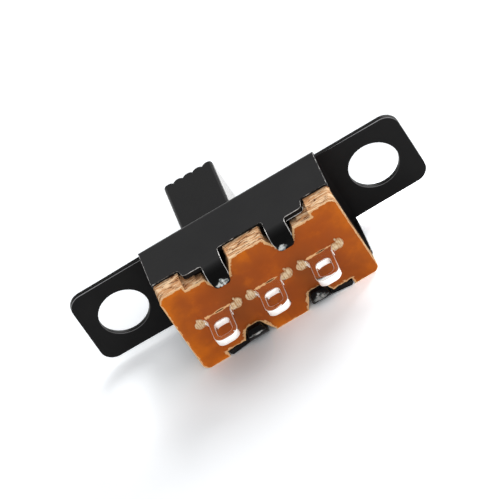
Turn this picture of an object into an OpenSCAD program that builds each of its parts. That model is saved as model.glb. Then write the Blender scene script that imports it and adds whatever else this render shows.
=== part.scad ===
// Miniature slide switch with two mounting ears, one pole and two positions.
// X runs along the ears, +Y points out of the knob side and +Z across the case.
// The origin lies midway between the ear holes, on the face that meets the panel.

/* [Case] */
// Distance between the two ear holes
hole_pitch = 15; // [14:0.1:16]
// Diameter of the ear holes
hole_d = 2.75; // [2:0.05:3]
// Metal left between an ear hole and the ear's end
ear_rim = 0.875; // [0.7:0.025:1.3]
// Radius of the ears' corners
ear_r = 0.8; // [0.3:0.05:1.4]
// Thickness of the sheet steel
sheet_t = 0.3; // [0.25:0.01:0.4]
// Length of the two side walls
body_len = 10.4; // [10:0.1:11.4]
// Width over the two side walls
body_w = 5.5; // [5.3:0.05:6.2]
// Height of the side walls, from the panel face to the terminal board
wall_h = 3.15; // [3.05:0.05:3.8]
// Inside radius of the folds
bend_r = 0.1; // [0.05:0.01:0.15]

/* [Claws] */
// Distance from the middle of the case to the middle of a claw
claw_x = 1.88; // [1.8:0.01:1.95]
// Width of a claw where it leaves the wall
claw_w = 1.1; // [1:0.05:1.2]
// Width of a claw at its tip, before its corners are rounded
claw_tip_w = 0.82; // [0.7:0.02:0.98]
// Radius of the corners of a claw's tip
claw_tip_r = 0.2; // [0.1:0.01:0.25]
// Reach of a bent claw, from the outside of its wall to its tip
claw_reach = 1.08; // [0.95:0.01:1.15]
// Lap of a claw's tip over the inner rim of its notch
claw_lap = 0.08; // [0.04:0.01:0.15]
// Outer edge of the shoulder beside each claw, from the middle of the case
shoulder_x = 3.5; // [3.2:0.05:3.7]
// Slope of the shoulder's outer edge, as its sideways run
shoulder_slope = 0.12; // [0.05:0.01:0.2]
// Drop of the shoulders below the upper wall's edge
shoulder_drop = 0.65; // [0.4:0.05:0.9]
// Drop of the longer shoulders below the lower wall's edge
long_drop = 1.35; // [1:0.05:1.5]

/* [Knob] */
// Width of the knob along its travel
knob_w = 2.9; // [2.6:0.05:3]
// Thickness of the knob across its travel
knob_t = 3; // [2.6:0.05:3.2]
// Height of the knob above the panel face
knob_h = 5.25; // [3.5:0.05:7]
// Travel of the knob between its two positions
travel = 2.8; // [2.7:0.05:2.9]
// Number of finger ridges on the knob's end
ridges = 5; // [3:1:7]
// Radius of one finger ridge
ridge_r = 0.36; // [0.34:0.01:0.5]
// Radius of the knob's long edges
knob_edge_r = 0.14; // [0.08:0.01:0.3]

/* [Carriage] */
// Length of the carriage that runs inside the case
carriage_len = 7.2; // [7:0.1:7.4]
// Running clearance between the carriage and what guides it
run_clear = 0.08; // [0.06:0.01:0.12]
// Clearance of the knob at each end of its slot
stop_clear = 0.05; // [0.03:0.01:0.1]
// Thickness of the carriage's web above the clip
web_t = 0.95; // [0.8:0.05:1.05]
// Width of the groove that passes the terminal blades
blade_groove_w = 0.74; // [0.64:0.02:0.9]

/* [Contact clip] */
// Length of the clip
clip_len = 4.6; // [4.4:0.1:5]
// Width over the clip's two leaves
clip_w = 1.44; // [1.38:0.02:1.5]
// Thickness of the spring strip
clip_t = 0.2; // [0.16:0.01:0.22]
// Depth of the clip's leaves, from its back
clip_depth = 1.4; // [1.3:0.05:1.45]
// Distance between the two contact dimples of a leaf
dimple_pitch = 3; // [2.9:0.05:3.1]
// Radius of the ball that forms a dimple
dimple_r = 0.45; // [0.4:0.01:0.5]
// Clearance between a dimple and a blade
dimple_clear = 0.04; // [0.03:0.01:0.08]
// Clearance of the clip in its pocket
pocket_clear = 0.03; // [0.02:0.01:0.06]

/* [Terminal board] */
// Length of the board
board_len = 10.4; // [10:0.1:11.4]
// Thickness of the board
board_t = 1.35; // [1.2:0.05:1.6]
// Radius of the board's corners
board_r = 0.4; // [0.2:0.05:0.6]
// Taper of the punched long edges, from the outer to the inner face
edge_draft = 0.13; // [0.05:0.01:0.2]
// Clearance between a shoulder and the floor of its notch
notch_clear = 0.07; // [0.04:0.01:0.12]
// Play between a notch's end and a shoulder
notch_play = 0.09; // [0.06:0.01:0.15]
// Width of a claw's notch at its inner rim, before its corners are rounded
notch_rim_w = 0.85; // [0.8:0.01:0.95]
// Angle at which a claw's notch opens towards the board's edge
notch_flare = 26; // [22:1:30]
// Corner radius of a claw's notch
notch_r = 0.15; // [0.08:0.01:0.2]

/* [Terminals] */
// Distance between neighbouring terminals
pin_pitch = 3; // [2.9:0.05:3.1]
// Thickness of the terminal metal
pin_t = 0.4; // [0.34:0.01:0.46]
// Width of the blade inside the case
blade_w = 1.6; // [1.4:0.05:1.8]
// Length of the blade above its seat
blade_len = 1.1; // [0.9:0.05:1.15]
// Width of the seat that bears on the board's inner face
seat_w = 2.6; // [2.45:0.05:2.7]
// Height of the seat
seat_h = 0.3; // [0.25:0.01:0.35]
// Width of the stem in the board's slot
stem_w = 2.24; // [2.1:0.02:2.3]
// Clearance between a stem and its slot
slot_clear = 0.05; // [0.03:0.01:0.08]
// Width of the solder lug
lug_w = 1.35; // [1.2:0.01:1.45]
// Length of the solder lug outside the board
lug_len = 2.25; // [2.1:0.05:3]
// Radius of the lug's corners
lug_r = 0.5; // [0.3:0.02:0.58]
// Width of the eyelet
eye_w = 0.83; // [0.6:0.01:0.9]
// Length of the eyelet
eye_len = 1.2; // [1:0.02:1.3]
// Radius of the eyelet's corners
eye_r = 0.28; // [0.1:0.01:0.3]
// Metal left between the eyelet and the lug's end
eye_rim = 0.34; // [0.25:0.01:0.45]
// Width of the neck between the crushed shoulders
neck_w = 1.6; // [1.5:0.02:1.7]
// Height of the stem's shoulders above the board
stem_proud = 0.1; // [0.05:0.01:0.15]
// Height of the crushed lumps above the board
stake_h = 0.28; // [0.2:0.01:0.4]
// Radius of one lobe of a crushed lump
stake_r = 0.22; // [0.2:0.01:0.26]
// Distance between a lump's two lobes
stake_lobe = 0.16; // [0.1:0.01:0.2]

/* [Hidden] */
$fn = 64;
eps = 0.01; // how far a cutter runs past a face
fold_r = sheet_t + bend_r; // outside radius of the folds
flat_w = body_w - 2 * fold_r; // flat width of the case's front and ears
case_len = hole_pitch + hole_d + 2 * ear_rim; // length over both ears
board_w = body_w; // the board is flush with the walls
inner_w = body_w - 2 * sheet_t; // free width between the walls
board_top = -wall_h; // the board's inner face
board_face = -wall_h - board_t; // the board's outer face
claw_in = claw_x - claw_w / 2; // inner edge of a claw
claw_out = claw_x + claw_w / 2; // outer edge of a claw
claw_bend = board_face + bend_r; // where a claw starts to bend
slot_len = knob_w + travel + 2 * stop_clear; // knob slot
slot_w = knob_t + 2 * run_clear;
rest_x = -travel / 2; // the knob's place at rest
carriage_top = -sheet_t - run_clear; // face that slides under the front
carriage_end = board_top + run_clear; // face that slides over the board
carriage_w = inner_w - 2 * run_clear;
pocket_y = carriage_top - web_t; // where the clip's back seats
pocket_w = clip_w + 2 * pocket_clear;
pocket_len = clip_len + 2 * pocket_clear;
blade_tip = board_top + seat_h + blade_len; // inner end of a blade
groove_y = blade_tip + 0.2; // floor of the groove, clear of the blades
blade_mid = board_top + seat_h + 0.6 * blade_len; // height of the contact dimples
blade_chamfer = 0.15; // bevel that leads the dimples on to a blade
lug_end = board_face - lug_len;
eye_mid = lug_end + eye_rim + eye_len / 2;
neck_len = 0.4; // stretch over which the neck narrows to the lug
stake_x = stem_w / 2; // middle of a crushed lump
notch_floor = body_w / 2 - sheet_t - notch_clear; // floor of a shoulder's notch
notch_reach = claw_reach - claw_lap; // depth of a claw's notch
notch_mouth_w = notch_rim_w + 2 * notch_reach * tan(notch_flare); // its width at the edge

// Places a flat outline, drawn in X and Z, as a plate from y0 with thickness h.
module xz_plate(y0, h) {
    translate([0, y0 + h, 0]) rotate([90, 0, 0]) linear_extrude(h) children();
}

// Places a flat outline, drawn in Y and Z, as a bar centred along X.
module yz_bar(len) {
    translate([-len / 2, 0, 0]) rotate([90, 0, 90]) linear_extrude(len) children();
}

// A rectangle with true round corners, centred.
module round_rect(l, w, r) {
    square([l - 2 * r, w], center = true);
    square([l, w - 2 * r], center = true);
    for (x = [-1, 1], z = [-1, 1])
        translate([x * (l / 2 - r), z * (w / 2 - r)]) circle(r);
}

// A tongue from the X axis down to -h, with true round corners at its narrow end.
module round_tongue(w, end_w, h, r) {
    lean = atan((w - end_w) / (2 * h));
    set = r / tan((90 + lean) / 2);
    flank_x = end_w / 2 + set * sin(lean);
    flank_y = set * cos(lean) - h;
    polygon([[-w / 2, 0], [w / 2, 0], [flank_x, flank_y], [end_w / 2 - set, -h],
             [set - end_w / 2, -h], [-flank_x, flank_y]]);
    for (x = [-1, 1]) translate([x * (end_w / 2 - set), r - h]) circle(r);
}

// Repeats its child on the left and the right.
module both_ends() {
    children();
    mirror([1, 0, 0]) children();
}

// Front of the case with its ears, ear holes and knob slot.
module front_plate() {
    xz_plate(-sheet_t, sheet_t) difference() {
        union() {
            round_rect(case_len, flat_w, ear_r);
            square([body_len, flat_w], center = true);
        }
        for (x = [-1, 1]) translate([x * hole_pitch / 2, 0]) circle(d = hole_d);
        round_rect(slot_len, slot_w, run_clear);
    }
}

// Fold between the front and the wall at +Z.
module fold() {
    yz_bar(body_len) translate([-fold_r, flat_w / 2]) intersection() {
        difference() {
            circle(fold_r);
            circle(bend_r);
        }
        square(fold_r);
    }
}

// Outline of one wall, drawn in X and Y, with its shoulders at the given drop.
module wall_outline(drop) {
    shoulder_y = board_top - drop;
    translate([-body_len / 2, board_top]) square([body_len, wall_h - fold_r]);
    both_ends() {
        translate([claw_in, claw_bend]) square([claw_w, board_top - claw_bend + eps]);
        polygon([[claw_out - eps, board_top + eps], [claw_out - eps, shoulder_y],
                 [shoulder_x - bend_r, shoulder_y], [shoulder_x, shoulder_y + bend_r],
                 [shoulder_x + shoulder_slope, board_top + eps]]);
    }
}

// Bent end of one claw at +X, over the board's outer face.
module claw_end() {
    translate([claw_x, claw_bend, body_w / 2 - fold_r]) {
        intersection() {
            rotate([0, 90, 0]) difference() {
                cylinder(r = fold_r, h = claw_w, center = true);
                cylinder(r = bend_r, h = claw_w + 2 * eps, center = true);
            }
            translate([-claw_w / 2, -fold_r, 0]) cube([claw_w, fold_r, fold_r]);
        }
        translate([0, -bend_r, 0]) rotate([90, 0, 0]) linear_extrude(sheet_t)
            round_tongue(claw_w, claw_tip_w, claw_reach - fold_r, claw_tip_r);
    }
}

// One side wall at +Z with its fold, shoulders and claws.
module side_wall(drop) {
    fold();
    translate([0, 0, body_w / 2 - sheet_t]) linear_extrude(sheet_t) wall_outline(drop);
    both_ends() claw_end();
}

// The folded case: front, ears, two walls and four claws in one sheet.
module frame() {
    color("#2a2a2c") {
        front_plate();
        side_wall(shoulder_drop);
        mirror([0, 0, 1]) side_wall(long_drop);
    }
}

// Side view of the knob with its row of finger ridges, drawn in X and Y.
module knob_outline() {
    pitch = knob_w / ridges;
    crest = knob_h - ridge_r;
    difference() {
        union() {
            translate([-knob_w / 2, carriage_top - eps])
                square([knob_w, crest - carriage_top + eps]);
            for (i = [0:ridges - 1])
                translate([(i - (ridges - 1) / 2) * pitch, crest]) circle(ridge_r);
        }
        both_ends() translate([knob_w / 2, 0]) square([ridge_r, knob_h]);
    }
}

// The knob, with round long edges.
module knob() {
    intersection() {
        translate([0, 0, -knob_t / 2]) linear_extrude(knob_t) knob_outline();
        xz_plate(carriage_top - eps, knob_h + 1) round_rect(knob_w, knob_t, knob_edge_r);
    }
}

// The carriage, open towards the board for the blades and the clip.
module carriage() {
    difference() {
        xz_plate(carriage_end, carriage_top - carriage_end)
            round_rect(carriage_len, carriage_w, knob_edge_r);
        translate([-carriage_len / 2 - eps, carriage_end - eps, -blade_groove_w / 2])
            cube([carriage_len + 2 * eps, groove_y - carriage_end + eps, blade_groove_w]);
        translate([-pocket_len / 2, carriage_end - eps, -pocket_w / 2])
            cube([pocket_len, pocket_y - carriage_end + eps, pocket_w]);
    }
}

// The moulded slider at its rest position: knob and carriage in one piece.
module slider() {
    color("#303030") translate([rest_x, 0, 0]) {
        knob();
        carriage();
    }
}

// One leaf of the clip at +Z, with two dimples towards the blades.
module clip_leaf() {
    ball_z = pin_t / 2 + dimple_clear + dimple_r;
    leaf_in = clip_w / 2 - clip_t;
    difference() {
        union() {
            translate([-clip_len / 2, pocket_y - clip_depth, leaf_in])
                cube([clip_len, clip_depth - clip_t, clip_t]);
            both_ends() intersection() {
                translate([dimple_pitch / 2, blade_mid, ball_z]) sphere(dimple_r);
                translate([0, pocket_y - clip_depth, 0]) cube([clip_len / 2, clip_depth, leaf_in + eps]);
            }
        }
        both_ends() translate([dimple_pitch / 2, blade_mid, ball_z]) sphere(dimple_r - clip_t);
    }
}

// The folded spring clip that joins two neighbouring blades.
module contact_clip() {
    color("#b8833e") translate([rest_x, 0, 0]) {
        xz_plate(pocket_y - clip_t, clip_t) square([clip_len, clip_w], center = true);
        clip_leaf();
        mirror([0, 0, 1]) clip_leaf();
    }
}

// One notch in the board's edge at +X and +Z, for a claw and its shoulder.
module notch() {
    end = shoulder_x + shoulder_slope + notch_play;
    translate([claw_x, notch_floor]) square([end - claw_x, board_w / 2 - notch_floor + eps]);
    translate([claw_x, board_w / 2]) {
        round_tongue(notch_mouth_w, notch_rim_w, notch_reach, notch_r);
        translate([-notch_mouth_w / 2, -eps]) square([notch_mouth_w, 2 * eps]);
    }
}

// Repeats its child, an outline in X and Z, at the board's four notches.
module four_notches() {
    for (z = [0, 1]) mirror([0, z]) both_ends() children();
}

// The laminated board with four notches and three slots.
module terminal_board() {
    inner_half = board_w / 2 - edge_draft;
    color("#b35a1f") intersection() {
        xz_plate(board_face, board_t) difference() {
            round_rect(board_len, board_w, board_r);
            four_notches() notch();
            for (i = [-1:1]) translate([i * pin_pitch, 0])
                square([stem_w + 2 * slot_clear, pin_t + 2 * slot_clear], center = true);
        }
        yz_bar(board_len + 1) polygon([[board_face, -board_w / 2], [board_face, board_w / 2],
                                       [board_top, inner_half], [board_top, -inner_half]]);
    }
}

// Side view of a terminal, drawn in X and Y.
module terminal_outline() {
    seat_y = board_top + seat_h;
    difference() {
        union() {
            polygon([[-blade_w / 2, seat_y - eps], [blade_w / 2, seat_y - eps],
                     [blade_w / 2, blade_tip - blade_chamfer],
                     [blade_w / 2 - blade_chamfer, blade_tip],
                     [blade_chamfer - blade_w / 2, blade_tip],
                     [-blade_w / 2, blade_tip - blade_chamfer]]);
            translate([-seat_w / 2, board_top]) square([seat_w, seat_h]);
            translate([-stem_w / 2, board_face - stem_proud])
                square([stem_w, board_t + stem_proud + eps]);
            polygon([[-neck_w / 2, board_face + eps], [neck_w / 2, board_face + eps],
                     [lug_w / 2, board_face - neck_len], [-lug_w / 2, board_face - neck_len]]);
            translate([0, lug_end + lug_len / 2]) round_rect(lug_w, lug_len, lug_r);
        }
        translate([0, eye_mid]) round_rect(eye_w, eye_len, eye_r);
    }
}

// A lump crushed out of the stem over the board's outer face, as two domed lobes.
module crushed_lump() {
    dome_r = (stake_r * stake_r + stake_h * stake_h) / (2 * stake_h) + stake_h / 2;
    for (lobe = [-0.5, 0.5]) translate([stake_x, board_face, lobe * stake_lobe]) intersection() {
        rotate([90, 0, 0]) cylinder(r = stake_r, h = stake_h);
        translate([0, dome_r - stake_h, 0]) sphere(dome_r);
    }
}

// One stamped terminal, at a place along the board.
module terminal(x) {
    color("#d8d6d0") translate([x, 0, 0]) {
        translate([0, 0, -pin_t / 2]) linear_extrude(pin_t) terminal_outline();
        both_ends() crushed_lump();
    }
}

frame();
slider();
contact_clip();
terminal_board();
terminal(-pin_pitch);  // terminal_left
terminal(0);  // terminal_common
terminal(pin_pitch);  // terminal_right
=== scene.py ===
import math
import bpy
import bmesh
from mathutils import Matrix, Vector, kdtree, noise


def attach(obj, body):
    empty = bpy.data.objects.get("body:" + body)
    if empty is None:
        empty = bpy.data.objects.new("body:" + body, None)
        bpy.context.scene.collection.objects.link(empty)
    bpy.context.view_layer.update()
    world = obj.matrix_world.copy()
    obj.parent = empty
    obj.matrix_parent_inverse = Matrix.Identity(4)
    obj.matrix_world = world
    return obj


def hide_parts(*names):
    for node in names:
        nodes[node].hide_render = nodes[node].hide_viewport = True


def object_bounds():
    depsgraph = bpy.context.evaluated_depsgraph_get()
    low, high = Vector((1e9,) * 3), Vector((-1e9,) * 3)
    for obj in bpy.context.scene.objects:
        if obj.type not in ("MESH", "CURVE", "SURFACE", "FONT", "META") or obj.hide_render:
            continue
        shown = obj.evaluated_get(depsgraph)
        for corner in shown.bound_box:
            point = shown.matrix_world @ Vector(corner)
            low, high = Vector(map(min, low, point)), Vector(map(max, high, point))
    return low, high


mm = 0.001

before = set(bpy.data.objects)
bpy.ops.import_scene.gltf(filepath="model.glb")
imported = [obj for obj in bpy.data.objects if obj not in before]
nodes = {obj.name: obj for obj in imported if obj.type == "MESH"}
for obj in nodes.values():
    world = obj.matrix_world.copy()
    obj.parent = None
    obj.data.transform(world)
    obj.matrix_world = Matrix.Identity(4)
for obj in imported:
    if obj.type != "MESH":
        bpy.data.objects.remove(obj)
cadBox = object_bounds()


# small helpers for meshes

def clamp(value):
    return max(0, min(1, value))


def copyOfNode(nodeName, pieceName):
    mesh = nodes[nodeName].data.copy()
    mesh.name = pieceName
    mesh.materials.clear()
    piece = bpy.data.objects.new(pieceName, mesh)
    bpy.context.scene.collection.objects.link(piece)
    return piece


def openMesh(piece):
    bm = bmesh.new()
    bm.from_mesh(piece.data)
    bmesh.ops.remove_doubles(bm, verts=bm.verts, dist=0.0005 * mm)
    bmesh.ops.dissolve_limit(bm, angle_limit=math.radians(0.4), verts=bm.verts, edges=bm.edges)
    bm.normal_update()
    return bm


def closeMesh(bm, piece, smoothAngle=35):
    bm.normal_update()
    for face in bm.faces:
        face.smooth = True
    for edge in bm.edges:
        if len(edge.link_faces) == 2:
            edge.smooth = edge.calc_face_angle(0) < math.radians(smoothAngle)
    bm.to_mesh(piece.data)
    bm.free()
    piece.data.update()
    weighted = piece.modifiers.new("flatFaces", "WEIGHTED_NORMAL")  # for large faces beside small rounds
    weighted.keep_sharp = True
    weighted.weight = 80


def cutGrid(bm, axis, start, stop, step, keep=None):
    # cuts the faces across with evenly spaced planes, for detail that follows
    normal = Vector((axis == 0, axis == 1, axis == 2))
    for i in range(int((stop - start) / step + 1.5)):
        place = normal * (start + i * step) * mm
        faces = [f for f in bm.faces if keep is None or keep(f.calc_center_median() / mm)]
        geom = list({v for f in faces for v in f.verts}) + list({e for f in faces for e in f.edges}) + faces
        bmesh.ops.bisect_plane(bm, geom=geom, dist=0.0001 * mm, plane_co=place, plane_no=normal)


def segmentTree(segments, step=0.02):
    # points along some edges, to measure how far a vertex is from them
    points = []
    for a, b in segments:
        count = max(1, int((b - a).length / (step * mm)))
        points += [a.lerp(b, i / count) for i in range(count + 1)]
    tree = kdtree.KDTree(len(points))
    for i, point in enumerate(points):
        tree.insert(point, i)
    tree.balance()
    return tree


def sharpEdges(bm, angle):
    return [e for e in bm.edges if len(e.link_faces) == 2 and e.calc_face_angle(0) > math.radians(angle)]


def bevelEdges(bm, edges, width, segments, slot=-1):
    bmesh.ops.bevel(bm, geom=edges, offset=width * mm, offset_type="OFFSET", segments=segments,
                    profile=0.5, affect="EDGES", clamp_overlap=False, material=slot)


def addWire(bm, path, radius, sides=6):
    # a thin round wire along a path; the radius wanders a little
    rings = []
    turns = [2 * math.pi * k / sides for k in range(sides)]
    for i, point in enumerate(path):
        along = (path[min(i + 1, len(path) - 1)] - path[max(i - 1, 0)]).normalized()
        across = along.cross(Vector((0.3, 0.2, 1))).normalized()
        upward = across.cross(along)
        size = radius * (1 + 0.5 * noise.noise(point / mm * 4))
        offsets = [(across * math.cos(t) + upward * math.sin(t)) * size * mm for t in turns]
        rings.append([bm.verts.new(point + offset) for offset in offsets])
    faces = [bm.faces.new((a[k], a[(k + 1) % sides], b[(k + 1) % sides], b[k]))
             for a, b in zip(rings, rings[1:]) for k in range(sides)]
    return faces + [bm.faces.new(rings[0][::-1]), bm.faces.new(rings[-1])]


# shader groups shared by several materials

def newGroup(name, inputs, outputs):
    group = bpy.data.node_groups.new(name, "ShaderNodeTree")
    for label, kind, value in inputs:
        socket = group.interface.new_socket(name=label, in_out="INPUT", socket_type=kind)
        socket.default_value = value
    for label, kind in outputs:
        group.interface.new_socket(name=label, in_out="OUTPUT", socket_type=kind)
    return group, group.nodes.new("NodeGroupInput"), group.nodes.new("NodeGroupOutput")


def feed(tree, socket, value):
    # gives a socket a number, a color or another node's output
    if isinstance(value, (int, float)):
        socket.default_value = value
    elif isinstance(value, tuple):
        socket.default_value = (*value, 1)
    elif value is not None:
        tree.links.new(value, socket)


def mathNode(tree, operation, a, b=None):
    node = tree.nodes.new("ShaderNodeMath")
    node.operation = operation
    feed(tree, node.inputs[0], a)
    feed(tree, node.inputs[1], b)
    return node.outputs[0]


def mapRange(tree, value, low, high, outLow=0.0, outHigh=1.0, smooth=True):
    node = tree.nodes.new("ShaderNodeMapRange")
    node.interpolation_type = "SMOOTHSTEP" if smooth else "LINEAR"
    labels = ("Value", "From Min", "From Max", "To Min", "To Max")
    for label, item in zip(labels, (value, low, high, outLow, outHigh)):
        feed(tree, node.inputs[label], item)
    return node.outputs["Result"]


def mixColor(tree, factor, a, b, blend="MIX"):
    node = tree.nodes.new("ShaderNodeMix")
    node.data_type = "RGBA"
    node.blend_type = blend
    for socket, value in ((node.inputs["Factor"], factor), (node.inputs[6], a), (node.inputs[7], b)):
        feed(tree, socket, value)
    return node.outputs[2]


def noiseNode(tree, vector, scale, detail=3.0, roughness=0.55):
    node = tree.nodes.new("ShaderNodeTexNoise")
    for label, value in (("Vector", vector), ("Scale", scale), ("Detail", detail), ("Roughness", roughness)):
        feed(tree, node.inputs[label], value)
    return node.outputs["Fac"]


def placeGroup(tree, group, **values):
    node = tree.nodes.new("ShaderNodeGroup")
    node.node_tree = group
    for label, value in values.items():
        feed(tree, node.inputs[label.replace("_", " ")], value)
    return node


def makeFineGrain():
    group, start, end = newGroup("fineGrain", [
        ("Vector", "NodeSocketVector", (0, 0, 0)), ("Grain Scale", "NodeSocketFloat", 4000.0),
        ("Cloud Scale", "NodeSocketFloat", 500.0)],
        [("Grain", "NodeSocketFloat"), ("Cloud", "NodeSocketFloat")])
    grain = noiseNode(group, start.outputs["Vector"], start.outputs["Grain Scale"], 2.0, 0.6)
    cloud = noiseNode(group, start.outputs["Vector"], start.outputs["Cloud Scale"], 4.0, 0.6)
    group.links.new(mapRange(group, grain, 0.25, 0.75), end.inputs["Grain"])
    group.links.new(mapRange(group, cloud, 0.25, 0.75), end.inputs["Cloud"])
    return group


def makeRaggedMask():
    # a mask painted on the mesh, broken up by noise as chips and scuffs are
    group, start, end = newGroup("raggedMask", [
        ("Vector", "NodeSocketVector", (0, 0, 0)), ("Mask", "NodeSocketFloat", 0.0),
        ("Scale", "NodeSocketFloat", 6000.0), ("Raggedness", "NodeSocketFloat", 0.5)],
        [("Result", "NodeSocketFloat")])
    field = noiseNode(group, start.outputs["Vector"], start.outputs["Scale"], 3.0, 0.65)
    centred = mathNode(group, "SUBTRACT", field, 0.5)
    shift = mathNode(group, "MULTIPLY", centred, start.outputs["Raggedness"])
    total = mathNode(group, "ADD", start.outputs["Mask"], shift)
    group.links.new(mapRange(group, total, 0.4, 0.6), end.inputs["Result"])
    return group


fineGrain = makeFineGrain()
raggedMask = makeRaggedMask()


def newMaterial(name):
    material = bpy.data.materials.new(name)
    material.use_nodes = True
    tree = material.node_tree
    where = tree.nodes.new("ShaderNodeTexCoord").outputs["Object"]
    return material, tree, tree.nodes["Principled BSDF"], where


def attributeValue(tree, name):
    node = tree.nodes.new("ShaderNodeAttribute")
    node.attribute_name = name
    return node.outputs["Fac"]


def placeGrain(tree, where, grainScale, cloudScale):
    grain = placeGroup(tree, fineGrain, Vector=where, Grain_Scale=grainScale, Cloud_Scale=cloudScale)
    return grain.outputs["Grain"], grain.outputs["Cloud"]


def brokenMask(tree, where, name, scale, raggedness):
    mask = attributeValue(tree, name)
    broken = placeGroup(tree, raggedMask, Vector=where, Mask=mask, Scale=scale, Raggedness=raggedness)
    return broken.outputs["Result"]


def bumpNormal(tree, shader, height, strength, distance):
    bump = tree.nodes.new("ShaderNodeBump")
    bump.inputs["Strength"].default_value = strength
    bump.inputs["Distance"].default_value = distance * mm
    tree.links.new(height, bump.inputs["Height"])
    tree.links.new(bump.outputs["Normal"], shader.inputs["Normal"])


# case: one folded sheet, black coated

caseLook = {
    "outerFace": 2.75, "clawFace": -4.8, "sheet": 0.3, "edgeRound": 0.03,
    "cornerRound": 0.14, "cornerEnd": -4.0,
    "lowShoulder": -4.3, "shoulderX": 3.3, "shoulderStretch": 0.14,
    "wallEnd": 5.3, "earFrom": 5.25, "earMiddle": -0.25, "holeX": 7.5, "holeReach": 1.5,
    "topFrom": 2.6, "foldCrown": -0.15, "foldEnd": -0.35, "foldGlint": 0.55,
    "clawX": 1.88, "clawInner": 1.2, "clawOuter": 2.6, "clawCut": -3.95, "clawFrom": -4, "clawLeastZ": 1.6,
    "bendZ": 2.2, "clawGrid": 0.06, "bendGrid": 0.08, "bendGridEnd": -4.02,
    "wideBend": 0.78, "tightBend": 0.4,
    "shadeFrom": -4.1, "shadeFade": 0.6, "scrapeFrom": -4.7, "scrapeDepth": 0.03,
    "scrapes": [(-1.9, 1.85, 0.42, 0.3, 1), (1.66, 1.88, 0.34, 0.26, 0.8),  # middle, half sizes, strength
                (-1.93, -2.13, 0.52, 0.13, 0.8), (1.84, -2.2, 0.48, 0.42, 0.58)],
    "burrRadius": 0.016, "burrStep": 0.05, "burrFrom": -3.1, "burrEnd": 1.8, "innerBurrFrom": 1.95,
    "burrSunk": 1.5, "innerBurrLift": 0.3, "burrRise": -4.3, "burrRiseLength": 0.18,
    "brightBurr": (1.25, 3.55), "dullBurr": 0.42,
    "coat": (0.0095, 0.0095, 0.0102), "coatWorn": (0.0125, 0.0125, 0.0128), "coatRough": 0.38,
    "coatShine": 0.11, "steel": (0.48, 0.47, 0.46), "glintGrey": (0.34, 0.34, 0.35),
    "shaded": (0.003, 0.003, 0.003), "shadedTint": (0.3, 0.3, 0.3), "earShade": 0.35, "earFade": 0.1,
    "scraped": (0.5, 0.53, 0.52), "scrapedDark": (0.1, 0.11, 0.11),
    "grain": (5200, 420), "bump": (0.12, 0.008),  # fine and cloudy scale; strength and distance
    "edgeBreak": (2600.0, 0.9), "scrapeBreak": (9000.0, 1.1),  # scale and raggedness of a mask
}


def earShadeMask(tree, where, look):
    # painted shade: the ears are darkened towards the shaded colour, the walls are not
    split = tree.nodes.new("ShaderNodeSeparateXYZ")
    tree.links.new(where, split.inputs["Vector"])
    aside = mathNode(tree, "ABSOLUTE", split.outputs["X"])
    start = look["earFrom"] * mm
    return mapRange(tree, aside, start - look["earFade"] * mm, start, 0, look["earShade"])


def caseMaterial(look):
    material, tree, shader, where = newMaterial("blackCoating")
    grain, cloud = placeGrain(tree, where, *look["grain"])
    edge = brokenMask(tree, where, "bareEdge", *look["edgeBreak"])
    scrape = brokenMask(tree, where, "scrape", *look["scrapeBreak"])
    onEar = earShadeMask(tree, where, look)
    # painted shade on the claws' lower parts and on the ears' cut faces and rear edges
    shaded = mathNode(tree, "MAXIMUM", attributeValue(tree, "shaded"), attributeValue(tree, "earEdgeShade"))
    coat = mixColor(tree, cloud, look["coat"], look["coatWorn"])
    # painted shade on the ears
    coat = mixColor(tree, onEar, coat, look["shaded"])
    # painted highlight along the ears' front edges and the fold
    coat = mixColor(tree, attributeValue(tree, "paintedGlint"), coat, look["glintGrey"])
    coat = mixColor(tree, shaded, coat, look["shaded"])
    color = mixColor(tree, edge, coat, look["steel"])
    scraped = mixColor(tree, mapRange(tree, grain, 0.25, 0.75), look["scrapedDark"], look["scraped"])
    strength = mapRange(tree, attributeValue(tree, "scrape"), 0, 0.9, 0.1, 1)
    rubbed = mathNode(tree, "MULTIPLY", scrape, strength)
    rough = mapRange(tree, cloud, 0, 1, look["coatRough"] - 0.04, look["coatRough"] + 0.06)
    tint = mixColor(tree, mathNode(tree, "MAXIMUM", shaded, onEar), (1, 1, 1), look["shadedTint"])
    feed(tree, shader.inputs["Base Color"], mixColor(tree, rubbed, color, scraped))
    feed(tree, shader.inputs["Metallic"], mathNode(tree, "MAXIMUM", edge, rubbed))
    feed(tree, shader.inputs["Roughness"], rough)
    feed(tree, shader.inputs["Specular Tint"], tint)
    shader.inputs["Specular IOR Level"].default_value = look["coatShine"]
    bumpNormal(tree, shader, grain, *look["bump"])
    return material


def edgeBareness(spot, look):
    # how much of the coating is gone from a rounded edge
    if abs(spot.x) > look["wallEnd"] or spot.y > look["foldEnd"]:
        return 0.2
    return 0.5 if spot.z > look["topFrom"] else 0.15


def arrisGlint(face, centre, look):
    # painted highlight on the edges of an ear: brightest where they face up, less round the holes
    if math.hypot(abs(centre.x) - look["holeX"], centre.z) < look["holeReach"]:
        return 0.5 * clamp(0.7 * face.normal.x + 1.3 * face.normal.z)
    return clamp(1.8 * face.normal.z)


def softCorners(points, rounds=2):
    # cuts the corners of a path, so that a wire along it bends round them
    for step in range(rounds):
        cut = [points[0]]
        for a, b in zip(points, points[1:]):
            cut += [a.lerp(b, 0.25), a.lerp(b, 0.75)]
        points = cut + [points[-1]]
    return points


def densePath(path, step):
    # the same path with points at even steps
    dense = [path[0]]
    for a, b in zip(path, path[1:]):
        count = max(1, round((b - a).length / (step * mm)))
        dense += [a.lerp(b, (i + 1) / count) for i in range(count)]
    return dense


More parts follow.
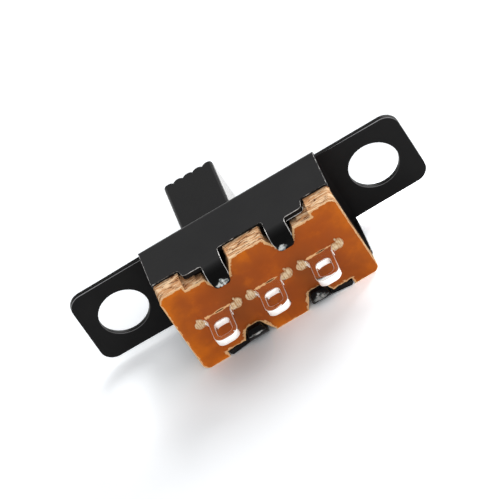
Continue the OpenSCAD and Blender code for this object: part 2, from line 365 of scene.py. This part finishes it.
def chainEdges(edges):
    # joins edges end to end into paths of points
    links = {}
    for edge in edges:
        for vert in edge.verts:
            links.setdefault(vert, []).append(edge)
    used, paths = set(), []
    for start in sorted(links, key=lambda v: (len(links[v]) != 1, v.co.x, v.co.y)):
        vert, path = start, [start.co.copy()]
        while True:
            onward = [e for e in links[vert] if e not in used]
            if not onward:
                break
            used.add(onward[0])
            vert = onward[0].other_vert(vert)
            path.append(vert.co.copy())
        if len(path) > 1:
            paths.append(path)
    return paths


def onSheet(spot, level, look):
    # whether a point lies on one face of the upper wall, or of a claw bent down from it
    outer, claw, bend = look["outerFace"], look["clawFace"], look["tightBend"]
    near = 0.002
    if spot.y > look["burrFrom"] or spot.z < look["burrEnd"]:
        return False
    if spot.y > claw + bend - near:
        return abs(spot.z - level) < near
    if spot.z < outer - bend - near:
        return abs(spot.y - claw - outer + level) < near
    fromMiddle = math.hypot(spot.y - (claw + bend), spot.z - outer + bend)
    return abs(fromMiddle - (bend - outer + level)) < 3 * near


def addBurrs(bm, look, bareEdge):
    # bright burr that the shear leaves along the lower outline of the upper wall
    outer, radius = look["outerFace"], look["burrRadius"]
    for level, least in ((outer, -look["wallEnd"]), (outer - look["sheet"], look["innerBurrFrom"])):
        lower = [e for e in sharpEdges(bm, 35)
                 if all(onSheet(v.co / mm, level, look) and v.co.x / mm > least for v in e.verts)]
        for path in chainEdges(lower):
            lifted = []
            for point in softCorners(densePath(path, look["burrStep"])):
                onWall = clamp((point.y / mm - look["burrRise"]) / look["burrRiseLength"])
                lift = -look["burrSunk"] * onWall if level == outer else look["innerBurrLift"]
                lifted.append(point + Vector((0, 0, lift * radius * mm)))
            for face in addWire(bm, lifted, radius):
                centre = face.calc_center_median() / mm
                bright = look["brightBurr"][0] < abs(centre.x) < look["brightBurr"][1]
                face[bareEdge] = 0.62 - 0.5 * max(0, 2.4 - centre.z) if bright else look["dullBurr"]


def roundBend(vert, look):
    # opens the bend of a claw from its folded radius to a wide one, keeping the sheet's thickness
    x, y, z = vert.co / mm
    wide, tight = look["wideBend"], look["tightBend"]
    shift = wide - tight
    slack = -0.04  # the scrapes move the face a little
    inY, inZ = y - look["clawFace"], look["outerFace"] - abs(z)
    if not (slack < inY < wide and slack < inZ < wide):
        return
    reach = math.hypot(wide - inY, wide - inZ)
    if reach < 0.05:
        return
    c, s = (wide - inY) / reach, (wide - inZ) / reach
    if s / c <= shift / wide:
        old = wide / c
    elif c / s <= shift / wide:
        old = wide / s
    else:
        old = shift * (c + s) + math.sqrt((shift * (c + s)) ** 2 - 2 * shift ** 2 + tight ** 2)
    less = old - wide
    vert.co.y += less * c * mm
    vert.co.z -= math.copysign(less * s, z) * mm


def outlineCorners(bm, look):
    # the short edges through the sheet where the outline of a wall turns
    corners = []
    for edge in sharpEdges(bm, 40):
        along = edge.verts[1].co - edge.verts[0].co
        onWall = all(look["burrFrom"] > v.co.y / mm > look["cornerEnd"] for v in edge.verts)
        if onWall and abs(along.z) > 0.2 * mm and along.xy.length < 0.002 * mm:
            corners.append(edge)
    return corners


def stretchShoulders(bm, look):
    # the lower shoulders end close to the ends of their notches
    for vert in bm.verts:
        outside = vert.co.z < 0 and abs(vert.co.x) > look["shoulderX"] * mm
        if outside and vert.co.y < look["lowShoulder"] * mm:
            vert.co.x += math.copysign(look["shoulderStretch"], vert.co.x) * mm


def roundCaseEdges(bm, look, bareEdge):
    # rounds every edge except the burr, and marks the bare faces, the painted highlights on the ears' edges
    # and the fold, and the painted shade on the ears' cut faces and rear edges
    solid = [e for e in sharpEdges(bm, 40)
             if e.calc_length() > 0.1 * mm and max(f[bareEdge] for f in e.link_faces) == 0]
    bevelEdges(bm, solid, look["edgeRound"], 2, 1)
    bm.normal_update()
    paintedGlint = bm.faces.layers.float.new("paintedGlint")
    earEdgeShade = bm.faces.layers.float.new("earEdgeShade")
    # the ears' cut faces and rear edges get painted shade
    for face in bm.faces:
        centre, normal = face.calc_center_median() / mm, face.normal
        onEar = abs(centre.x) > look["earFrom"]
        onFold = centre.z > look["topFrom"] and centre.y > look["foldCrown"]
        if face.material_index == 1:
            face[bareEdge] = edgeBareness(centre, look)
            face[paintedGlint] = arrisGlint(face, centre, look) if onEar and centre.y < look["earMiddle"] else 0
            face[earEdgeShade] = float(onEar and centre.y > look["earMiddle"])
        elif onEar and abs(normal.y) < 0.3:
            face[earEdgeShade] = 1
        elif onFold and abs(normal.y) > 0.15 and normal.z > 0.15:
            face[paintedGlint] = look["foldGlint"]
        face.material_index = 0


def shapeClaws(bm, look):
    # cuts the claws finely, scrapes their ends and opens their bends
    def onClaw(centre):
        return centre.y < look["clawCut"] and abs(centre.z) > look["clawLeastZ"]

    cutGrid(bm, 1, look["clawCut"], look["clawCut"], 1)
    for side in (-1, 1):
        middleX, middleZ = side * look["clawX"], side * look["bendZ"]
        cutGrid(bm, 0, middleX - 0.6, middleX + 0.6, look["clawGrid"], onClaw)
        cutGrid(bm, 2, middleZ - 0.6, middleZ + 0.5, look["clawGrid"], onClaw)
    cutGrid(bm, 1, look["scrapeFrom"], look["bendGridEnd"], look["bendGrid"], onClaw)
    scrape = bm.verts.layers.float.new("scrape")
    lower = bm.verts.layers.float.new("shaded")
    for vert in bm.verts:
        x, y, z = vert.co / mm
        if y > look["clawFrom"] or not look["clawInner"] < abs(x) < look["clawOuter"]:
            continue
        rough = noise.fractal(Vector((x, y, z)) * 7, 1.0, 2.0, 3)
        if y < look["scrapeFrom"]:
            for placeX, placeZ, halfX, halfZ, most in look["scrapes"]:
                patch = 1.3 - abs(x - placeX) / halfX - abs(z - placeZ) / halfZ + 0.3 * rough
                vert[scrape] = max(vert[scrape], min(most, 1.5 * patch))
            vert.co.y += max(0, vert[scrape]) * look["scrapeDepth"] * max(0, 0.6 + rough) * mm
        vert[lower] = clamp((look["shadeFrom"] - y) / look["shadeFade"]) * (1 - vert[scrape])
        roundBend(vert, look)


def makeCase(look):
    case = copyOfNode("frame", "foldedCase")
    bm = openMesh(case)
    bareEdge = bm.faces.layers.float.new("bareEdge")
    stretchShoulders(bm, look)
    bevelEdges(bm, outlineCorners(bm, look), look["cornerRound"], 3)
    addBurrs(bm, look, bareEdge)
    roundCaseEdges(bm, look, bareEdge)
    shapeClaws(bm, look)
    closeMesh(bm, case)
    case.data.materials.append(caseMaterial(look))
    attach(case, "case")
    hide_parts("frame")
    print("case: folded sheet done")
    return case


# knob and carriage: one matte moulding

knobLook = {
    "edgeRound": 0.022, "color": (0.0028, 0.0028, 0.003), "pale": (0.004, 0.004, 0.0042),
    "rough": 0.22, "shine": 0.03, "skinRough": 0.15, "skinIor": 1.19, "flankSkin": 0.12,
    "roundTurn": 0.12, "roundTurnLength": 0.25, "sideTurn": 0.96,
    "grain": (6000, 600), "bump": (0.12, 0.008),
}


def knobMaterial(look):
    material, tree, shader, where = newMaterial("mattePlastic")
    grain, cloud = placeGrain(tree, where, *look["grain"])
    rough = mapRange(tree, grain, 0, 1, look["rough"] - 0.05, look["rough"] + 0.06)
    skin = mapRange(tree, attributeValue(tree, "flank"), 0, 1, 1, look["flankSkin"])
    feed(tree, shader.inputs["Base Color"], mixColor(tree, cloud, look["color"], look["pale"]))
    feed(tree, shader.inputs["Roughness"], rough)
    feed(tree, shader.inputs["Coat Weight"], skin)
    shader.inputs["Specular IOR Level"].default_value = look["shine"]
    shader.inputs["Coat Roughness"].default_value = look["skinRough"]
    shader.inputs["Coat IOR"].default_value = look["skinIor"]
    bumpNormal(tree, shader, grain, *look["bump"])
    return material


def makeKnob(look):
    knob = copyOfNode("slider", "ridgedKnob")
    bm = openMesh(knob)
    bevelEdges(bm, sharpEdges(bm, 30), look["edgeRound"], 2)
    bm.normal_update()
    flank = bm.faces.layers.float.new("flank")
    for face in bm.faces:
        turned = abs(face.normal.x)
        if turned < look["sideTurn"]:  # the rounds, not the flat sides
            face[flank] = clamp((turned - look["roundTurn"]) / look["roundTurnLength"])
    closeMesh(bm, knob)
    knob.data.materials.append(knobMaterial(look))
    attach(knob, "knob")
    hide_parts("slider")
    print("knob: moulding done")
    return knob


# contact clip: spring bronze, seen only through the open ends

clipLook = {
    "color": (0.58, 0.33, 0.13), "dull": (0.42, 0.24, 0.11), "rough": 0.32,
    "grain": (5000.0, 700.0), "bump": (0.1, 0.008),
}


def dressClip(look):
    material, tree, shader, where = newMaterial("springBronze")
    grain, cloud = placeGrain(tree, where, *look["grain"])
    rough = mapRange(tree, cloud, 0, 1, look["rough"] - 0.06, look["rough"] + 0.1)
    feed(tree, shader.inputs["Base Color"], mixColor(tree, cloud, look["color"], look["dull"]))
    feed(tree, shader.inputs["Roughness"], rough)
    shader.inputs["Metallic"].default_value = 1
    bumpNormal(tree, shader, grain, *look["bump"])
    clip = nodes["contact_clip"]
    clip.data.materials.clear()
    clip.data.materials.append(material)
    print("clip: bronze done")


# terminal board: laminate with raw cut edges

boardLook = {
    "outerFace": -4.5, "innerFace": -3.15, "halfLength": 5.2, "halfWidth": 2.75, "gridStep": 0.08,
    "face": (0.52, 0.104, 0.0115), "faceBright": (0.82, 0.2, 0.009),
    "faceDark": (0.38, 0.083, 0.015), "faceDeep": (0.28, 0.07, 0.014),
    "faceRough": 0.34, "chipRough": 0.75, "faceShine": 0.1, "patchScale": 900.0,
    "faceGrain": (2500.0, 230.0), "faceBreak": (5200.0, 0.75), "faceBump": (0.08, 0.008),
    "edge": (0.66, 0.335, 0.155), "edgeDark": (0.17, 0.055, 0.02), "edgePale": (0.97, 0.69, 0.43),
    "chip": (0.97, 0.58, 0.28), "paintedEdgeShade": (0.012, 0.008, 0.006), "edgeRough": 0.85, "edgeShine": 0.02,
    "edgeStretch": (0.22, 1.0, 0.22), "edgeGrain": (11000.0, 6500.0), "edgeBreak": (5200.0, 0.6),
    "edgeBump": (0.6, 0.03),
    "slotPitch": 3.0, "slotReach": 0.5, "slotGap": 0.085, "notchX": 3.75, "notchZ": 2.74,
    "endFrom": 5.02, "endPale": 0.72, "glowEdgeZ": 2.9, "glowReach": 1.5, "rightGlow": 0.48,
    "lowSlotChip": 0.03, "leftChip": 0.15, "rightChip": 0.07, "notchChip": 0.22, "topChip": 0.14,
    "lowChip": 0.09, "chipDepth": 0.07,
}


def boardFaceMaterial(look):
    material, tree, shader, where = newMaterial("laminateFace")
    grain, cloud = placeGrain(tree, where, *look["faceGrain"])
    chip = brokenMask(tree, where, "chip", *look["faceBreak"])
    patches = noiseNode(tree, where, look["patchScale"], 4.0, 0.6)
    patchy = mapRange(tree, patches, 0.3, 0.62, 0.45, 1.1)
    glow = mathNode(tree, "MULTIPLY", attributeValue(tree, "edgeGlow"), patchy)
    tone = mixColor(tree, cloud, look["faceDark"], look["face"])
    tone = mixColor(tree, glow, tone, look["faceBright"])
    tone = mixColor(tree, mapRange(tree, patches, 0.48, 0.8, 0, 0.5), tone, look["faceBright"])
    tone = mixColor(tree, attributeValue(tree, "shade"), tone, look["faceDeep"])
    rough = mapRange(tree, chip, 0, 1, look["faceRough"], look["chipRough"])
    feed(tree, shader.inputs["Base Color"], mixColor(tree, chip, tone, look["chip"]))
    feed(tree, shader.inputs["Roughness"], rough)
    shader.inputs["Specular IOR Level"].default_value = look["faceShine"]
    bumpNormal(tree, shader, grain, *look["faceBump"])
    return material


def boardEdgeMaterial(look):
    # paper layers run along the board, so the noise is drawn out along X and Z
    material, tree, shader, where = newMaterial("laminateEdge")
    stretch = tree.nodes.new("ShaderNodeMapping")
    stretch.inputs["Scale"].default_value = look["edgeStretch"]
    tree.links.new(where, stretch.inputs["Vector"])
    grain, cloud = placeGrain(tree, stretch.outputs["Vector"], *look["edgeGrain"])
    chip = brokenMask(tree, where, "chip", *look["edgeBreak"])
    layers = mixColor(tree, mapRange(tree, cloud, 0.35, 0.8), look["edge"], look["edgePale"])
    layers = mixColor(tree, mapRange(tree, grain, 0.34, 0.12), layers, look["edgeDark"])
    layers = mixColor(tree, chip, layers, look["edgePale"])
    # painted shade deep in the notches and at the two ends
    layers = mixColor(tree, attributeValue(tree, "paintedEdgeShade"), layers, look["paintedEdgeShade"])
    feed(tree, shader.inputs["Base Color"], layers)
    shader.inputs["Roughness"].default_value = look["edgeRough"]
    shader.inputs["Specular IOR Level"].default_value = look["edgeShine"]
    bumpNormal(tree, shader, grain, *look["edgeBump"])
    return material


def atSlot(near, look):
    return abs(near.z) < look["slotReach"] * mm


def atNotch(near, look):
    inReach = abs(near.x) < look["notchX"] * mm and abs(near.z) < look["notchZ"] * mm
    return inReach and not atSlot(near, look)


def chipWidth(near, fromLug, look):
    # how far the chips reach in from the nearest point of the board's outline
    if atSlot(near, look) and near.z < 0:
        return look["lowSlotChip"]
    if abs(near.x) > look["endFrom"] * mm:
        return look["leftChip"] if near.x < 0 else look["rightChip"]
    if atSlot(near, look):
        return 0.04 + 0.022 * math.cos(fromLug * 1.2)
    if atNotch(near, look):
        return look["notchChip"]
    return look["topChip"] if near.z > 0 else look["lowChip"]


def glowShare(x, z, look):
    # painted glow: the face is brighter towards its outline, most at the corners of its left end
    inside = min(look["halfLength"] - abs(x), look["glowEdgeZ"] - abs(z))
    most = 0.55 + 0.45 * abs(z) / look["halfWidth"] if x < 0 else look["rightGlow"]
    return max(0, 1 - inside / look["glowReach"]) ** 1.4 * most


def edgeShadeShare(x, y, z, look):
    # painted shade on the cut edge, deep in a notch and under the two ends
    depth = y - look["outerFace"]
    if abs(x) > look["endFrom"] and abs(z) < 2.4:
        return clamp((depth - look["endPale"]) / 0.12)
    inNotch = 1.1 < abs(x) < 3.0 and 1.6 < abs(z) < look["notchZ"]
    return clamp((depth - 0.25) / 0.5) if inNotch else 0


def slotMove(fromLug, look):
    # the upper edge of a slot, pulled in except where the lug fills it
    return Vector((0, 0, -look["slotGap"] * (1 - math.exp(-((fromLug - 0.15) / 0.33) ** 2))))


def layerMove(x, y, z, outward):
    # the relief of the paper layers in a cut edge
    layer = noise.fractal(Vector((x * 2.2, y * 9, z * 2.2)), 1.0, 2.0, 3)
    return -outward * max(0, 0.018 + 0.03 * layer)


def makeBoard(look):
    board = copyOfNode("terminal_board", "laminateBoard")
    bm = openMesh(board)
    outer, step = look["outerFace"], look["gridStep"]
    rim = [e for e in sharpEdges(bm, 40) if max(v.co.y for v in e.verts) < (outer + 0.01) * mm]
    rimTree = segmentTree([(e.verts[0].co.copy(), e.verts[1].co.copy()) for e in rim])
    cutGrid(bm, 0, -look["halfLength"] + step, look["halfLength"] - step, step)
    cutGrid(bm, 2, -look["halfWidth"] + step, look["halfWidth"] - step, step)
    cutGrid(bm, 1, outer + step, look["innerFace"] - step, step)
    bm.normal_update()
    chip = bm.verts.layers.float.new("chip")
    glow = bm.verts.layers.float.new("edgeGlow")
    shade = bm.verts.layers.float.new("shade")
    paintedEdgeShade = bm.verts.layers.float.new("paintedEdgeShade")
    moves = {}
    for vert in bm.verts:
        x, y, z = vert.co / mm
        near, index, distance = rimTree.find(vert.co)
        distance /= mm
        fromLug = (x + 4.5) % look["slotPitch"] - 1.5
        rough = noise.fractal(Vector((x, y, z)) * 5, 1.0, 2.0, 3)
        wear = clamp(1 - distance / (chipWidth(near, fromLug, look) * (1 + 0.9 * rough)))
        vert[chip] = wear
        vert[glow] = glowShare(x, z, look)
        vert[paintedEdgeShade] = edgeShadeShare(x, y, z, look)
        vert[shade] = 0.85 * math.exp(-((abs(x) - 2) / 0.9) ** 2 - ((z + 0.5) / 1.5) ** 2)
        outward = sum((f.normal for f in vert.link_faces), Vector()).normalized()
        if atSlot(near, look) and distance < 0.012 and near.z > 0 and abs(z) < look["slotReach"]:
            moves[vert] = slotMove(fromLug, look)
        elif abs(outward.y) < 0.5 and y > outer + 0.02:
            moves[vert] = layerMove(x, y, z, outward)
        elif atNotch(near, look) and wear > 0.1:
            moves[vert] = Vector((0, look["chipDepth"] * wear * max(0, 0.5 + rough), 0))
    for vert, move in moves.items():
        if abs(vert.co.y / mm - look["innerFace"]) > 0.01:
            vert.co += move * mm
    bm.normal_update()
    for face in bm.faces:
        face.material_index = 0 if abs(face.normal.y) > 0.7 else 1
    closeMesh(bm, board, 50)
    board.data.materials.append(boardFaceMaterial(look))
    board.data.materials.append(boardEdgeMaterial(look))
    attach(board, "case")
    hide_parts("terminal_board")
    print("board: laminate done,", len(board.data.polygons), "faces")
    return board


# terminals: stamped, plated and staked lugs

lugLook = {
    "boardFace": -4.5, "faceSlack": 0.005, "edgeRound": 0.035, "rimTurn": -0.45,
    "lumpX": 1.12, "lumpHalf": 0.4, "lumpRise": 0.105,
    "hubX": 1.06, "hubZ": 0.08, "hubShrink": 0.3, "footX": 0.8, "footRise": 0.02, "footShade": 0.9,
    "ribs": 55, "flatTop": 0.4,
    "lobes": [(-1.03, 0.1, 0.22, 0.32, 0.2, 1), (-1.17, 0.02, 0.21, 0.24, 0.05, 1),
              (-1.1, 0.34, 0.08, 0.1, 0.1, 1), (-0.72, -0.1, 0.095, 0.27, 0.13, 0),
              (1.2, 0.12, 0.22, 0.29, 0.21, 1), (0.92, 0.04, 0.23, 0.24, 0.2, 1),
              (1.08, 0.42, 0.07, 0.08, 0.1, 1)],  # middle, half sizes, height, crushed or plated
    "silver": (0.97, 0.965, 0.95), "dull": (0.87, 0.85, 0.82), "rough": 0.09, "workedRough": 0.4,
    "rimColor": (0.85, 0.74, 0.68), "rimMetal": 0.45,
    "crushed": (0.88, 0.69, 0.45), "crushedDark": (0.6, 0.34, 0.15), "crushedMetal": 0.22,
    "grain": (3500.0, 800.0), "bump": (0.15, 0.008),
}


def lugMaterial(look):
    material, tree, shader, where = newMaterial("silverPlate")
    grain, cloud = placeGrain(tree, where, *look["grain"])
    rim, pressed = attributeValue(tree, "rim"), attributeValue(tree, "crushed")
    crushed = mixColor(tree, attributeValue(tree, "crushedShade"), look["crushed"], look["crushedDark"])
    silver = mixColor(tree, cloud, look["silver"], look["dull"])
    silver = mixColor(tree, rim, silver, look["rimColor"])
    rimMetal = mapRange(tree, rim, 0, 1, 1, look["rimMetal"])
    metal = mathNode(tree, "MINIMUM", rimMetal, mapRange(tree, pressed, 0, 1, 1, look["crushedMetal"]))
    smooth = mapRange(tree, cloud, 0, 1, look["rough"] - 0.05, look["rough"] + 0.1)
    worked = mathNode(tree, "MULTIPLY", mathNode(tree, "MAXIMUM", pressed, rim), look["workedRough"])
    feed(tree, shader.inputs["Base Color"], mixColor(tree, pressed, silver, crushed))
    feed(tree, shader.inputs["Metallic"], metal)
    feed(tree, shader.inputs["Roughness"], mathNode(tree, "ADD", smooth, worked))
    bumpNormal(tree, shader, grain, *look["bump"])
    return material


def addLobe(bm, centreX, lobe, seed, look, crushed, crushedShade):
    # one lobe of the metal crushed over the board by a ribbed punch
    placeX, placeZ, halfX, halfZ, height, isCrushed = lobe
    dome = 1 if isCrushed else look["flatTop"]
    made = bmesh.ops.create_icosphere(bm, subdivisions=4, radius=1)
    for vert in made["verts"]:
        x, y, z = vert.co
        ribs = 0.5 + 0.5 * math.cos((placeX + x * halfX) * look["ribs"] + seed)
        crumple = noise.fractal(Vector((x, y, z)) * 1.7 + Vector((seed * 3.7, placeX, 0)), 1.0, 2.0, 4)
        swell = 1 + 0.1 * crumple - 0.04 * ribs
        rise = max(0, -y) ** dome * height * (swell - 0.05 * ribs) - max(0, y) * 0.05
        newX, newZ = centreX + placeX + x * halfX * swell, placeZ + z * halfZ * swell
        vert.co = Vector((newX, look["boardFace"] - rise, newZ)) * mm
        vert[crushed] = isCrushed
        # painted shade in the grooves between the ribs and on the half of the lobe towards the board
        vert[crushedShade] = clamp(max(0.9 * ribs - 0.9 * crumple - 0.1, 1.4 + 2.5 * y))


def openLumps(bm, look, centreX):
    # takes off the solid's plain domes and leaves small flat feet under the lobes
    proud = (look["boardFace"] - look["faceSlack"]) * mm
    top = (look["boardFace"] - look["lumpRise"]) * mm
    inner = look["lumpX"] - look["lumpHalf"]
    plain = [f for f in bm.faces
             if all(v.co.y < proud and abs(v.co.x / mm - centreX) > inner for v in f.verts)
             and any(v.co.y < top for v in f.verts)]
    bmesh.ops.delete(bm, geom=plain, context="FACES")
    bmesh.ops.holes_fill(bm, edges=[e for e in bm.edges if len(e.link_faces) == 1], sides=0)
    for vert in bm.verts:
        aside = vert.co.x / mm - centreX
        if abs(aside) > look["footX"] and vert.co.y < proud:
            hub = math.copysign(look["hubX"], aside)
            vert.co.x = (centreX + hub + (aside - hub) * look["hubShrink"]) * mm
            vert.co.z = look["hubZ"] * mm + vert.co.z * look["hubShrink"]
            vert.co.y = (look["boardFace"] - look["footRise"]) * mm
    bm.normal_update()


def makeLug(nodeName, pieceName, material, look, centreX, seed):
    lug = copyOfNode(nodeName, pieceName)
    bm = openMesh(lug)
    openLumps(bm, look, centreX)
    rim = bm.faces.layers.float.new("rim")
    bevelEdges(bm, sharpEdges(bm, 50), look["edgeRound"], 2, 1)
    for face in bm.faces:
        face[rim] = float(face.material_index == 1 and face.normal.y > look["rimTurn"])
        face.material_index = 0
    crushed = bm.verts.layers.float.new("crushed")
    crushedShade = bm.verts.layers.float.new("crushedShade")
    onBoard = (look["boardFace"] + look["faceSlack"]) * mm
    for vert in bm.verts:
        if abs(vert.co.x / mm - centreX) > look["footX"] and vert.co.y < onBoard:
            # painted shade on the feet under the lobes
            vert[crushed], vert[crushedShade] = 1, look["footShade"]
    for i, lobe in enumerate(look["lobes"]):
        addLobe(bm, centreX, lobe, seed + i, look, crushed, crushedShade)
    closeMesh(bm, lug, 40)
    lug.data.materials.append(material)
    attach(lug, "case")
    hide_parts(nodeName)
    print("lug:", pieceName, "done")
    return lug


makeCase(caseLook)
makeKnob(knobLook)
dressClip(clipLook)
makeBoard(boardLook)
plate = lugMaterial(lugLook)
makeLug("terminal_left", "lugLeft", plate, lugLook, -3.0, 1.0)
makeLug("terminal_common", "lugCommon", plate, lugLook, 0.0, 4.0)
makeLug("terminal_right", "lugRight", plate, lugLook, 3.0, 7.0)


# floor, light and camera

stageLook = {
    "floorSize": 4.0, "floorLit": (0.78, 0.8, 0.81), "floorSeen": (1.27, 1.3, 1.33),
    "floorMirrored": (1.6, 1.6, 1.6), "skyColor": (1, 1, 1), "skyLight": 0.52, "skySeen": 1.0,
    "lamps": [("backLamp", (0.350, 0.417, 0.254), 0.485, 3.2),  # name, place, size and power
              ("frontLamp", (0.043, -0.490, 0.344), 0.56, 0.68)],
    "paintedSpots": [((-3, -5.2), (3.6, 3.6), 0.6), ((6.8, -0.8), (6.2, 4.8), 2.6),  # middle, reach and gain
              ((4.5, -4.8), (4.4, 2.2), 1.4), ((-9.5, -4.5), (4.2, 6.5), 1.38),
              ((-6.2, -1), (2.4, 2.4), 1.25)],
}


def softSpot(tree, where, centre, reach):
    # a round patch of the floor, 1 in its middle and 0 at its reach
    place = tree.nodes.new("ShaderNodeMapping")
    place.vector_type = "TEXTURE"
    place.inputs["Location"].default_value = (centre[0] * mm, centre[1] * mm, 0)
    place.inputs["Scale"].default_value = (reach[0] * mm, reach[1] * mm, 1)
    tree.links.new(where, place.inputs["Vector"])
    spot = tree.nodes.new("ShaderNodeTexGradient")
    spot.gradient_type = "SPHERICAL"
    tree.links.new(place.outputs["Vector"], spot.inputs["Vector"])
    return mapRange(tree, spot.outputs["Fac"], 0, 1)


def floorMaterial(look):
    # what the floor shows, what it throws on the part, and what the metal mirrors are set apart; round spots
    # paint shadow and light into what the floor shows
    material, tree, shader, where = newMaterial("paleFloor")
    path = tree.nodes.new("ShaderNodeLightPath")
    shown = look["floorSeen"]
    # painted shadow and painted light: each spot darkens or brightens the floor by its gain
    for centre, reach, gain in look["paintedSpots"]:
        paintedTone = mixColor(tree, 1.0, shown, (gain,) * 3, "MULTIPLY")
        shown = mixColor(tree, softSpot(tree, where, centre, reach), shown, paintedTone)
    mirror = mathNode(tree, "MAXIMUM", path.outputs["Is Glossy Ray"], path.outputs["Is Transmission Ray"])
    tone = mixColor(tree, path.outputs["Is Camera Ray"], look["floorLit"], shown)
    feed(tree, shader.inputs["Base Color"], mixColor(tree, mirror, tone, look["floorMirrored"]))
    shader.inputs["Roughness"].default_value = 1
    shader.inputs["Specular IOR Level"].default_value = 0
    return material


def makeFloor(look):
    bm = bmesh.new()
    bmesh.ops.create_grid(bm, x_segments=2, y_segments=2, size=look["floorSize"] / 2)
    mesh = bpy.data.meshes.new("floor")
    bm.to_mesh(mesh)
    bm.free()
    floor = bpy.data.objects.new("floor", mesh)
    floor.location.z = cadBox[0][2]
    bpy.context.scene.collection.objects.link(floor)
    mesh.materials.append(floorMaterial(look))


def makeLight(look):
    world = bpy.data.worlds.new("studioSky")
    bpy.context.scene.world = world
    world.use_nodes = True
    tree = world.node_tree
    sky = tree.nodes["Background"]
    path = tree.nodes.new("ShaderNodeLightPath")
    seen = mathNode(tree, "MAXIMUM", path.outputs["Is Camera Ray"], path.outputs["Is Glossy Ray"])
    seen = mathNode(tree, "MAXIMUM", seen, path.outputs["Is Transmission Ray"])
    strength = mapRange(tree, seen, 0, 1, look["skyLight"], look["skySeen"], smooth=False)
    feed(tree, sky.inputs["Strength"], strength)
    feed(tree, sky.inputs["Color"], look["skyColor"])
    for name, place, size, power in look["lamps"]:
        lamp = bpy.data.lights.new(name, "AREA")
        lamp.shape = "DISK"
        lamp.size = size
        lamp.energy = power
        light = bpy.data.objects.new(name, lamp)
        light.location = place
        light.visible_camera = False
        light.rotation_euler = (-Vector(place)).to_track_quat("-Z", "Y").to_euler()
        bpy.context.scene.collection.objects.link(light)


cameraLook = {
    "azimuth": 6.669, "elevation": 37.602, "roll": 34.482, "distance": 300 * mm,
    "target": (0, -2 * mm, 0), "focalPixels": 5845.38, "imagePixels": 500, "centre": (257.06, 257.15),
    "sensor": 36, "nearest": 0.01, "farthest": 10,
}


def makeCamera(look):
    azimuth, elevation, roll = (math.radians(look[k]) for k in ("azimuth", "elevation", "roll"))
    level = math.cos(elevation)
    forward = Vector((-math.sin(azimuth) * level, math.cos(azimuth) * level, -math.sin(elevation)))
    right = Vector((math.cos(azimuth), math.sin(azimuth), 0))
    up = right.cross(forward)
    imageRight = math.cos(roll) * right - math.sin(roll) * up
    imageUp = math.sin(roll) * right + math.cos(roll) * up
    data = bpy.data.cameras.new("camera")
    camera = bpy.data.objects.new("camera", data)
    turn = Matrix((imageRight, imageUp, -forward)).transposed().to_4x4()
    camera.matrix_world = Matrix.Translation(Vector(look["target"]) - forward * look["distance"]) @ turn
    data.sensor_width = look["sensor"]
    data.lens = look["focalPixels"] * data.sensor_width / look["imagePixels"]
    data.shift_x = (look["imagePixels"] / 2 - look["centre"][0]) / look["imagePixels"]
    data.shift_y = (look["centre"][1] - look["imagePixels"] / 2) / look["imagePixels"]
    data.clip_start = look["nearest"]
    data.clip_end = look["farthest"]
    bpy.context.scene.collection.objects.link(camera)
    bpy.context.scene.camera = camera


makeFloor(stageLook)
makeLight(stageLook)
makeCamera(cameraLook)
bpy.context.scene.view_settings.view_transform = "Standard"
print("stage: floor, light and camera done")
